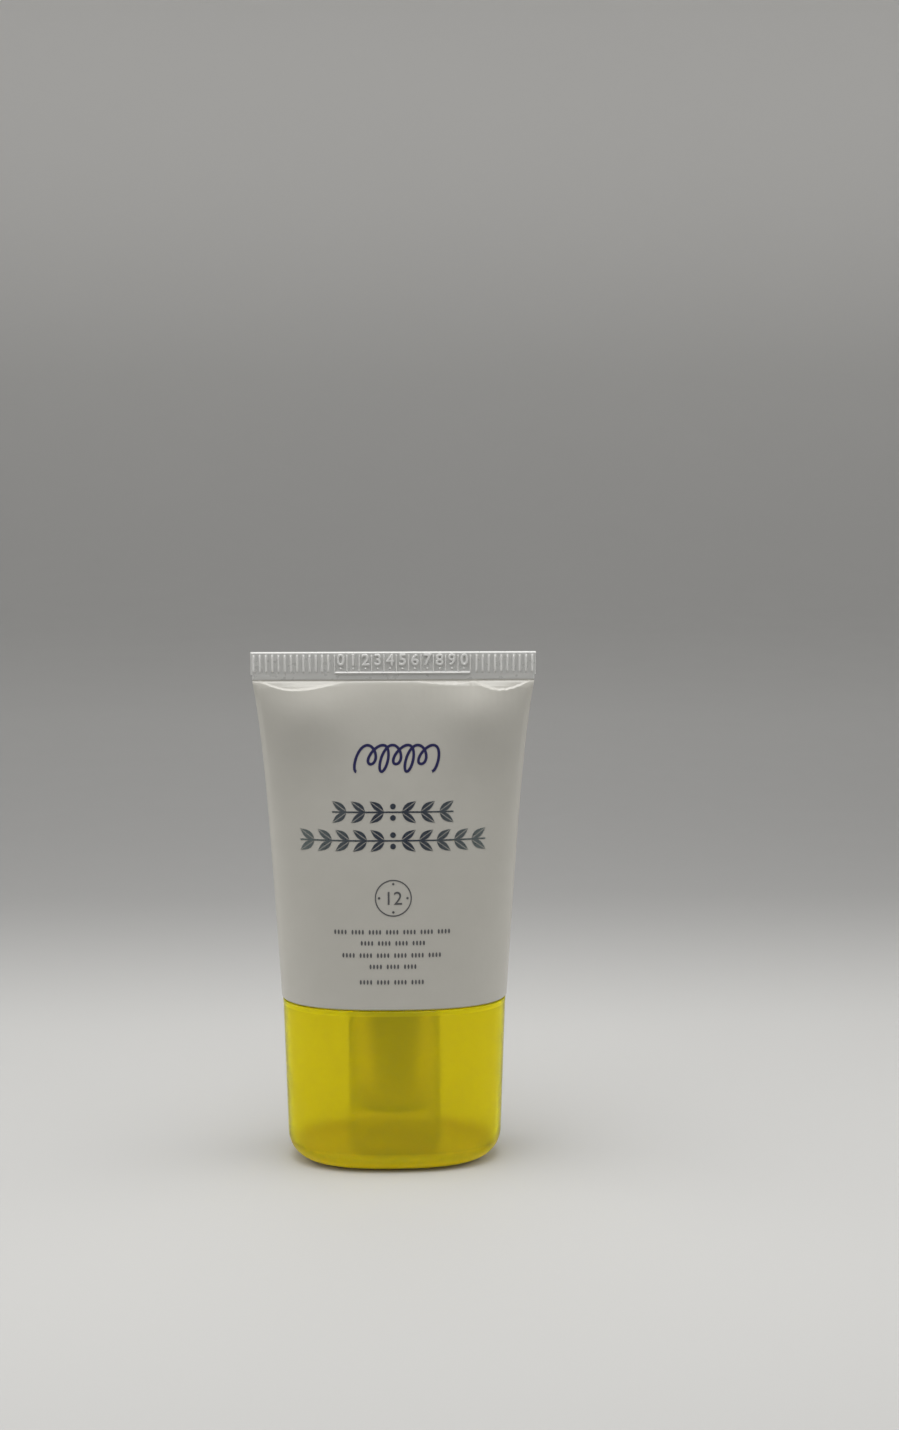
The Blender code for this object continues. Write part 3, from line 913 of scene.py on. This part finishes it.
def make_print(navy, foil, grey):
    printed("print_flourish", stroke(flourish_points(), FLOURISH_STROKE), navy)
    printed("print_sprigs", sprig_faces(), foil)
    printed("print_ring", dial_faces(), grey)
    printed("print_small_rows", seed_faces(), grey)
    dial_numeral(grey)


def node(tree, kind, **values):
    made = tree.nodes.new(kind)
    for name, value in values.items():
        if name in made.inputs:
            made.inputs[name].default_value = value
        else:
            setattr(made, name, value)
    return made


def noise(tree, scale, detail=4.0, roughness=0.5):
    """Noise over the object's own coordinates, with a scale in cells a metre."""
    place = node(tree, "ShaderNodeTexCoord")
    made = node(tree, "ShaderNodeTexNoise", Scale=scale, Detail=detail, Roughness=roughness)
    tree.links.new(place.outputs["Object"], made.inputs["Vector"])
    return made.outputs["Fac"]


def spread(tree, source, low, high, bottom=0.3, top=0.7):
    """The source from bottom to top, spread over low to high."""
    made = node(tree, "ShaderNodeMapRange")
    tree.links.new(source, made.inputs["Value"])
    made.inputs["From Min"].default_value = bottom
    made.inputs["From Max"].default_value = top
    made.inputs["To Min"].default_value = low
    made.inputs["To Max"].default_value = high
    return made.outputs["Result"]


def split_place(tree, kind="Object"):
    """The three coordinates of a place on the object or, as "Generated", of a way into the air."""
    place = node(tree, "ShaderNodeTexCoord")
    split = node(tree, "ShaderNodeSeparateXYZ")
    tree.links.new(place.outputs[kind], split.inputs["Vector"])
    return split.outputs


def feed(tree, source, socket):
    """Sets a socket to a plain value, or links it to another socket."""
    if isinstance(source, bpy.types.NodeSocket):
        tree.links.new(source, socket)
    else:
        socket.default_value = source


def worked(tree, operation, *terms):
    """What a math node makes of its terms, which are numbers or sockets."""
    made = node(tree, "ShaderNodeMath", operation=operation)
    for term, socket in zip(terms, made.inputs):
        feed(tree, term, socket)
    return made.outputs["Value"]


def mixed(tree, source, low, high):
    """Two colours mixed by the source."""
    ramp = node(tree, "ShaderNodeValToRGB")
    ramp.color_ramp.elements[0].color = (*low, 1.0)
    ramp.color_ramp.elements[1].color = (*high, 1.0)
    tree.links.new(source, ramp.inputs["Fac"])
    return ramp.outputs["Color"]


def recolour(tree, share, colour, blend_type="MIX"):
    """Mixes a share of a colour into the one that the shader has so far."""
    base = tree.nodes["Principled BSDF"].inputs["Base Color"]
    mix = node(tree, "ShaderNodeMix", data_type="RGBA", blend_type=blend_type)
    feed(tree, share, mix.inputs["Factor"])
    feed(tree, base.links[0].from_socket, mix.inputs[MIX_FIRST_COLOUR])
    feed(tree, colour, mix.inputs[MIX_SECOND_COLOUR])
    feed(tree, mix.outputs[MIX_RESULT_COLOUR], base)


def finish(name, low, high, grain, roughness, bump=0.0, bump_grain=0.0, **constants):
    """A Principled material whose colour and roughness vary with noise, and maybe a bump."""
    material = bpy.data.materials.new(name)
    material.use_nodes = True
    tree = material.node_tree
    shader = tree.nodes["Principled BSDF"]
    for socket, value in constants.items():
        shader.inputs[socket.replace("_", " ")].default_value = value
    mottle = noise(tree, grain)
    tree.links.new(mixed(tree, mottle, low, high), shader.inputs["Base Color"])
    smears = noise(tree, grain * FINER_GRAIN)
    tree.links.new(spread(tree, smears, *roughness), shader.inputs["Roughness"])
    if bump:
        relief = node(tree, "ShaderNodeBump", Strength=1.0, Distance=bump)
        tree.links.new(noise(tree, bump_grain), relief.inputs["Height"])
        tree.links.new(relief.outputs["Normal"], shader.inputs["Normal"])
    return material


def film_material():
    return finish(
        "satin_white_film",
        low=(0.430, 0.418, 0.378),
        high=(0.460, 0.448, 0.408),
        grain=260,
        roughness=(0.21, 0.27),
        bump=0.00002,
        bump_grain=900,
    )


def seal_material():
    """Frosted film that is less clear where its relief is raised, and paler there as a painted
    highlight.
    """
    material = finish(
        "frosted_film",
        low=(0.62, 0.62, 0.60),
        high=(0.65, 0.65, 0.63),
        grain=250,
        roughness=(0.26, 0.32),
        bump=0.000002,
        bump_grain=1500,
        IOR=1.45,
    )
    tree = material.node_tree
    shader = tree.nodes["Principled BSDF"]
    raised = node(tree, "ShaderNodeAttribute", attribute_name=RAISED).outputs["Fac"]
    clearness = spread(tree, raised, *SEAL_CLEARNESS, 0.0, 1.0)
    tree.links.new(clearness, shader.inputs["Transmission Weight"])
    # Painted highlight on the raised relief.
    recolour(tree, raised, (*SEAL_RAISED_HIGHLIGHT_COLOUR, 1.0))
    return material


def numeral_material():
    """The frosted film of a raised digit, painted paler than the seal as a painted highlight."""
    return finish(
        "frosted_digit",
        low=(0.70, 0.70, 0.68),
        high=(0.76, 0.76, 0.74),
        grain=700,
        roughness=(0.24, 0.34),
        bump=0.000004,
        bump_grain=2600,
        IOR=1.45,
    )


def clear_yellow_material():
    """Clear yellow plastic, hazier at its mouth, and in its floor hazier and deeper, partly as
    painted shade.
    """
    material = finish(
        "clear_yellow_plastic",
        low=(0.98, 0.87, 0.012),
        high=(0.995, 0.89, 0.020),
        grain=120,
        roughness=(0.10, 0.15),
        bump=0.00001,
        bump_grain=350,
        Subsurface_Weight=1.0,
        Subsurface_Scale=0.001,
        Subsurface_Radius=(1.0, 1.0, 0.5),
        IOR=1.25,
    )
    tree = material.node_tree
    shader = tree.nodes["Principled BSDF"]
    height = split_place(tree)["Z"]
    above = spread(tree, height, *CAP_CLEARNESS, *CAP_FLOOR_HEIGHTS)
    mouth = spread(tree, height, 1.0, CAP_MOUTH_CLEARNESS, *CAP_MOUTH_HEIGHTS)
    clearness = worked(tree, "MULTIPLY", above, mouth)
    tree.links.new(clearness, shader.inputs["Transmission Weight"])
    # Deeper and darker towards the floor: partly thicker plastic, partly painted shade under the
    # tube.
    floor_tint_and_shade = spread(tree, height, 1.0, 0.0, *CAP_FLOOR_HEIGHTS)
    recolour(tree, floor_tint_and_shade, (*CAP_FLOOR_TINT_AND_SHADE, 1.0), "MULTIPLY")
    return material


def frosted_yellow_material():
    """The same plastic with a matt surface, which blurs what is behind it."""
    return finish(
        "frosted_yellow_plastic",
        low=(0.99, 0.915, 0.006),
        high=(1.0, 0.93, 0.010),
        grain=200,
        roughness=(0.28, 0.36),
        bump=0.00002,
        bump_grain=700,
        Transmission_Weight=0.93,
        Subsurface_Weight=1.0,
        Subsurface_Scale=0.001,
        Subsurface_Radius=(1.0, 1.0, 0.5),
        IOR=1.25,
    )


def natural_material():
    return finish(
        "natural_plastic",
        low=(0.80, 0.80, 0.75),
        high=(0.84, 0.84, 0.79),
        grain=260,
        roughness=(0.34, 0.46),
        bump=0.00001,
        bump_grain=1200,
        Subsurface_Weight=1.0,
        Subsurface_Scale=0.004,
        Subsurface_Radius=(1.0, 1.0, 0.9),
    )


def cream_material():
    return finish(
        "cream",
        low=(0.80, 0.76, 0.68),
        high=(0.88, 0.85, 0.78),
        grain=240,
        roughness=(0.22, 0.36),
        bump=0.00008,
        bump_grain=420,
        Subsurface_Weight=0.4,
        Subsurface_Scale=0.002,
    )


def navy_material():
    return finish(
        "navy_ink",
        low=(0.008, 0.008, 0.055),
        high=(0.018, 0.016, 0.085),
        grain=2600,
        roughness=(0.42, 0.55),
    )


def foil_material():
    """Blue-grey foil with a painted sheen, paler and greener towards the ends of the rows."""
    material = finish(
        "foil_print",
        low=(0.075, 0.085, 0.135),
        high=(0.16, 0.19, 0.22),
        grain=2200,
        roughness=(0.26, 0.38),
        Metallic=0.85,
    )
    tree = material.node_tree
    aside = worked(tree, "ABSOLUTE", split_place(tree)["X"])
    # Painted sheen, paler and greener away from the middle.
    recolour(tree, spread(tree, aside, 0.0, 1.0, *FOIL_SHEEN_FADE), (*FOIL_SHEEN_COLOUR, 1.0))
    return material


def grey_material():
    return finish(
        "grey_ink",
        low=(0.060, 0.060, 0.062),
        high=(0.10, 0.10, 0.105),
        grain=2600,
        roughness=(0.45, 0.6),
    )


def paper_material():
    """Paper painted with shade: darker in front and behind, pale around the object and far up."""
    material = finish(
        "pale_paper",
        low=(0.99, 0.985, 0.965),
        high=(1.0, 0.995, 0.975),
        grain=5,
        roughness=(0.75, 0.9),
    )
    tree = material.node_tree
    place = split_place(tree)
    reach = worked(tree, "ADD", place["Y"], place["Z"])
    # The ramp paints shade onto the paper by its place along Y and Z.
    ramp = node(tree, "ShaderNodeValToRGB")
    ramp.color_ramp.interpolation = "B_SPLINE"
    stops = ramp.color_ramp.elements
    while len(stops) < len(PAPER_PAINTED_SHADE_STOPS):
        stops.new(1.0)
    for stop, (reached, shade) in zip(stops, PAPER_PAINTED_SHADE_STOPS):
        stop.position = (reached - PAPER_START) / (PAPER_END - PAPER_START)
        stop.color = (shade, shade, shade, 1.0)
    along = spread(tree, reach, 0.0, 1.0, PAPER_START, PAPER_END)
    tree.links.new(along, ramp.inputs["Fac"])
    recolour(tree, 1.0, ramp.outputs["Color"], "MULTIPLY")
    return material


def make_stage():
    """A pale floor that sweeps up into the backdrop behind the object."""
    profile = [(FLOOR_FRONT, -FLOOR_DROP)]
    for step in range(SWEEP_STEPS + 1):
        angle = math.pi / 2 * step / SWEEP_STEPS
        reach = FLOOR_BACK + SWEEP_RADIUS * math.sin(angle)
        profile.append((reach, SWEEP_RADIUS * (1 - math.cos(angle)) - FLOOR_DROP))
    profile.append((FLOOR_BACK + SWEEP_RADIUS, BACKDROP_TOP))
    shape = bmesh.new()
    sides = [
        [shape.verts.new((side * STAGE_WIDTH / 2, y, z)) for y, z in profile] for side in (-1, 1)
    ]
    for step in range(len(profile) - 1):
        shape.faces.new((sides[0][step], sides[1][step], sides[1][step + 1], sides[0][step + 1]))
    mesh = mesh_of("stage_sweep", shape)
    mesh.materials.append(paper_material())
    mesh.shade_smooth()
    sweep = bpy.data.objects.new("stage_sweep", mesh)
    bpy.context.scene.collection.objects.link(sweep)


def area_light(name, place, target, size, power, spread_angle):
    light = bpy.data.lights.new(name, "AREA")
    light.shape = "SQUARE"
    light.size = size
    light.energy = power
    light.spread = spread_angle
    holder = bpy.data.objects.new(name, light)
    holder.visible_camera = False
    holder.location = place
    aim = Vector(target) - Vector(place)
    holder.rotation_euler = aim.to_track_quat("-Z", "Y").to_euler()
    bpy.context.scene.collection.objects.link(holder)


def make_air():
    """Soft light from the left and the right, which comes down at a slant and fades out
    towards the horizon."""
    world = bpy.data.worlds.new("air")
    world.use_nodes = True
    tree = world.node_tree
    background = tree.nodes["Background"]
    background.inputs["Color"].default_value = (*AIR_COLOUR, 1.0)
    way = split_place(tree, "Generated")
    level = worked(tree, "MULTIPLY", worked(tree, "ABSOLUTE", way["X"]), math.cos(AIR_LIFT))
    toward = worked(tree, "MULTIPLY_ADD", way["Z"], math.sin(AIR_LIFT), level)
    narrow = worked(tree, "POWER", worked(tree, "MAXIMUM", toward, 0.0), AIR_NARROWING)
    above = spread(tree, way["Z"], 0.0, 1.0, *AIR_HORIZON)
    share = worked(tree, "MULTIPLY", narrow, above)
    strength = spread(tree, share, AIR_STRENGTH_AHEAD, AIR_STRENGTH_ASIDE, 0.0, 1.0)
    tree.links.new(strength, background.inputs["Strength"])
    bpy.context.scene.world = world


def make_lights():
    middle = (0.0, 0.0, TUBE_TOP / 2)
    area_light(
        "top_light", TOP_LIGHT_PLACE, middle, TOP_LIGHT_SIZE, TOP_LIGHT_POWER, TOP_LIGHT_SPREAD
    )
    area_light(
        "back_light", BACK_LIGHT_PLACE, middle, BACK_LIGHT_SIZE, BACK_LIGHT_POWER, BACK_LIGHT_SPREAD
    )
    make_air()


def make_camera():
    data = bpy.data.cameras.new("camera")
    data.sensor_width = CAMERA_SENSOR
    data.lens = CAMERA_LENS
    camera = bpy.data.objects.new("camera", data)
    camera.location = CAMERA_PLACE
    aim = Euler((math.pi / 2 - CAMERA_PITCH, 0.0, -CAMERA_TURN)).to_matrix()
    camera.rotation_euler = (aim @ Matrix.Rotation(CAMERA_ROLL, 3, "Z")).to_euler()
    bpy.context.scene.collection.objects.link(camera)
    bpy.context.scene.camera = camera


def main():
    bpy.context.scene.view_settings.view_transform = "Standard"
    make_camera()
    make_lights()
    make_stage()
    yellow = clear_yellow_material()
    make_cap_shell(yellow)
    make_cap_inner_sleeve(frosted_yellow_material())
    make_film(film_material())
    make_seal(seal_material())
    seal_numerals(numeral_material())
    make_head(natural_material())
    make_cream(cream_material())
    make_print(navy_material(), foil_material(), grey_material())


main()
